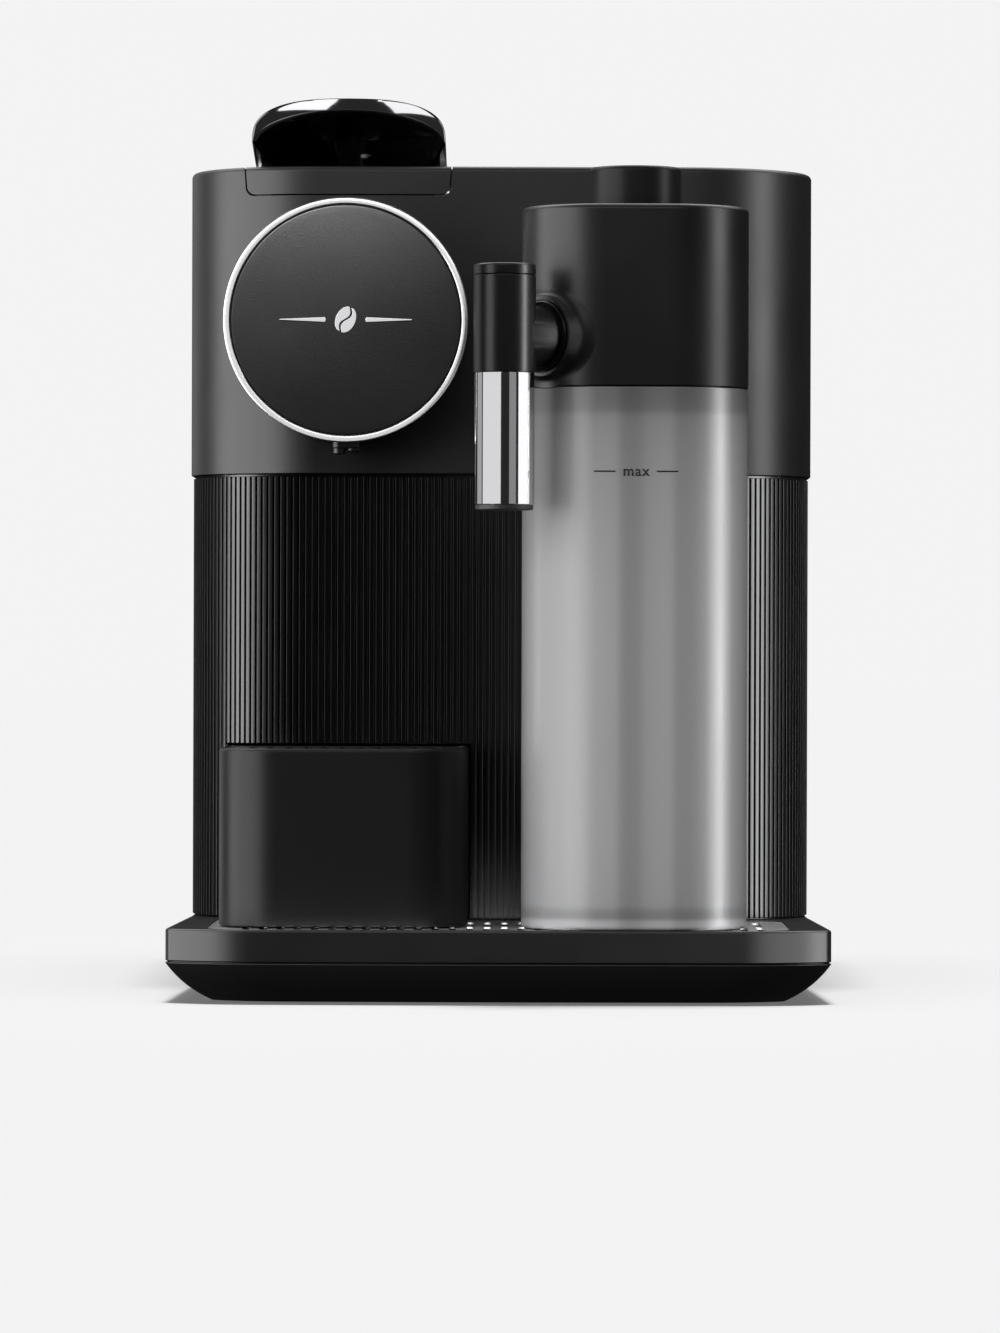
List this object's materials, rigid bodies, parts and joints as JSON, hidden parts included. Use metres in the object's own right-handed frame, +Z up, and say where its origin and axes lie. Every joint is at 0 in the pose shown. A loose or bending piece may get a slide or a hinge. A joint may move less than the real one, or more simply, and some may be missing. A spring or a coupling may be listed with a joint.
{
  "type": "pod coffee machine",
  "caption": "Pod coffee machine with fluted lower body, round coffee outlet drum, chromed lever and a frosted milk container with swivelling spout.",
  "frame": {"origin": "centre of the footprint's bounding box, on the surface the machine stands on", "axes": "+Z up, the front faces -Y, +X to the right seen from the front"},
  "size_m": [0.2012, 0.367, 0.2796],
  "materials": {
    "matt_black": "fine matt",
    "satin_dark": "satin dark anthracite",
    "gloss_black": "high gloss",
    "chrome_trim": "polished",
    "steel_grid": "brushed",
    "frosted_clear": "frosted translucent plastic",
    "smoke_clear": "smoked clear plastic",
    "rubber_black": "matt",
    "inner_black": "moulded",
    "inner_grey": "moulded glass-filled",
    "steel_part": "machined",
    "cast_alu": "cast",
    "silicone": "translucent silicone",
    "board_green": "solder mask"
  },
  "bodies": {
    "machine": {"base_pan": "matt_black", "rubber_feet": "rubber_black", "chassis_screws": "steel_part", "base_rim": "satin_dark", "fluted_panel": "matt_black", "head_shell": "matt_black", "brew_cover": "matt_black", "touch_panel": "gloss_black", "control_board": "board_green", "rear_panel": "inner_black", "rear_plinth": "matt_black", "power_gland": "rubber_black", "drum_housing": "matt_black", "drum_ring": "chrome_trim", "drum_disc": "satin_dark", "coffee_nozzle": "inner_black", "brew_housing": "inner_grey", "capsule_cage": "inner_grey", "steam_socket": "rubber_black", "tank_seat": "inner_black", "inner_frame": "inner_grey", "pump_body": "inner_grey", "pump_mounts": "rubber_black", "thermoblock": "cast_alu", "flow_meter": "inner_grey", "water_hoses": "silicone"},
    "lever": {"lever_shell": "chrome_trim", "lever_liner": "gloss_black", "lever_axle": "steel_part", "lever_cranks": "steel_part"},
    "carriage": {"brew_carriage": "inner_grey", "piercing_plate": "steel_part"},
    "drip_tray": {"drip_tray": "satin_dark", "drip_grid": "steel_grid"},
    "capsule_drawer": {"capsule_drawer": "matt_black"},
    "cup_grid": {"cup_stand_grid": "matt_black"},
    "milk_container": {"milk_container": "frosted_clear"},
    "milk_lid": {"milk_lid": "matt_black", "lid_seal": "silicone", "milk_tube": "silicone", "steam_connector": "inner_black"},
    "froth_knob": {"froth_knob": "matt_black"},
    "milk_spout": {"spout_body": "matt_black", "spout_cap": "matt_black", "spout_sleeve": "chrome_trim", "spout_tip": "inner_black"},
    "water_tank": {"water_tank": "smoke_clear", "hinge_bridge": "matt_black"},
    "tank_lid": {"tank_lid": "matt_black"},
    "tank_valve": {"tank_valve": "inner_grey"},
    "pump_piston": {"pump_piston": "steel_part"},
    "meter_rotor": {"flow_meter_rotor": "inner_grey"}
  },
  "joints": [
    {"name": "lever_hinge", "type": "hinge", "parent": "machine", "child": "lever", "pos_m": [-0.048, -0.0053, 0.252], "axis": [-1, 0, 0], "range_deg": [0, 75]},
    {"name": "carriage_slide", "type": "slide", "parent": "machine", "child": "carriage", "axis": [0, -1, 0], "range_m": [0, 0.03167]},
    {"name": "drip_tray_slide", "type": "slide", "parent": "machine", "child": "drip_tray", "axis": [0, -1, 0], "range_m": [0, 0.1]},
    {"name": "capsule_drawer_slide", "type": "slide", "parent": "machine", "child": "capsule_drawer", "axis": [0, -1, 0], "range_m": [0, 0.14]},
    {"name": "cup_grid_lift", "type": "slide", "parent": "capsule_drawer", "child": "cup_grid", "axis": [0, 0, 1], "range_m": [0, 0.05]},
    {"name": "milk_container_slide", "type": "slide", "parent": "machine", "child": "milk_container", "axis": [0, -1, 0], "range_m": [0, 0.12]},
    {"name": "milk_lid_lift", "type": "slide", "parent": "milk_container", "child": "milk_lid", "axis": [0, 0, 1], "range_m": [0, 0.08]},
    {"name": "froth_knob_turn", "type": "hinge", "parent": "milk_lid", "child": "froth_knob", "pos_m": [0.041, -0.1393, 0.247], "axis": [0, 0, 1], "range_deg": [-75, 75]},
    {"name": "milk_spout_swivel", "type": "hinge", "parent": "milk_lid", "child": "milk_spout", "pos_m": [0.02119, -0.15441, 0.2012], "axis": [-0.7071, -0.7071, 0], "range_deg": [-20, 60]},
    {"name": "water_tank_lift", "type": "slide", "parent": "machine", "child": "water_tank", "axis": [0, 0, 1], "range_m": [0, 0.12]},
    {"name": "tank_lid_hinge", "type": "hinge", "parent": "water_tank", "child": "tank_lid", "pos_m": [0, 0.1715, 0.2527], "axis": [-1, 0, 0], "range_deg": [0, 85]},
    {"name": "tank_valve_travel", "type": "slide", "parent": "water_tank", "child": "tank_valve", "axis": [0, 0, 1], "range_m": [0, 0.003], "stiffness_N_per_m": 150, "springref_m": -0.002},
    {"name": "pump_piston_stroke", "type": "slide", "parent": "machine", "child": "pump_piston", "axis": [0, 1, 0], "range_m": [-0.002, 0.002], "stiffness_N_per_m": 900},
    {"name": "flow_meter_spin", "type": "hinge", "parent": "machine", "child": "meter_rotor", "pos_m": [-0.04, 0.0997, 0.06], "axis": [0, 0, 1], "continuous": true}
  ],
  "couplings": [
    {"joint": "carriage_slide", "follows": "lever_hinge", "m_per_rad": 0.024183}
  ]
}
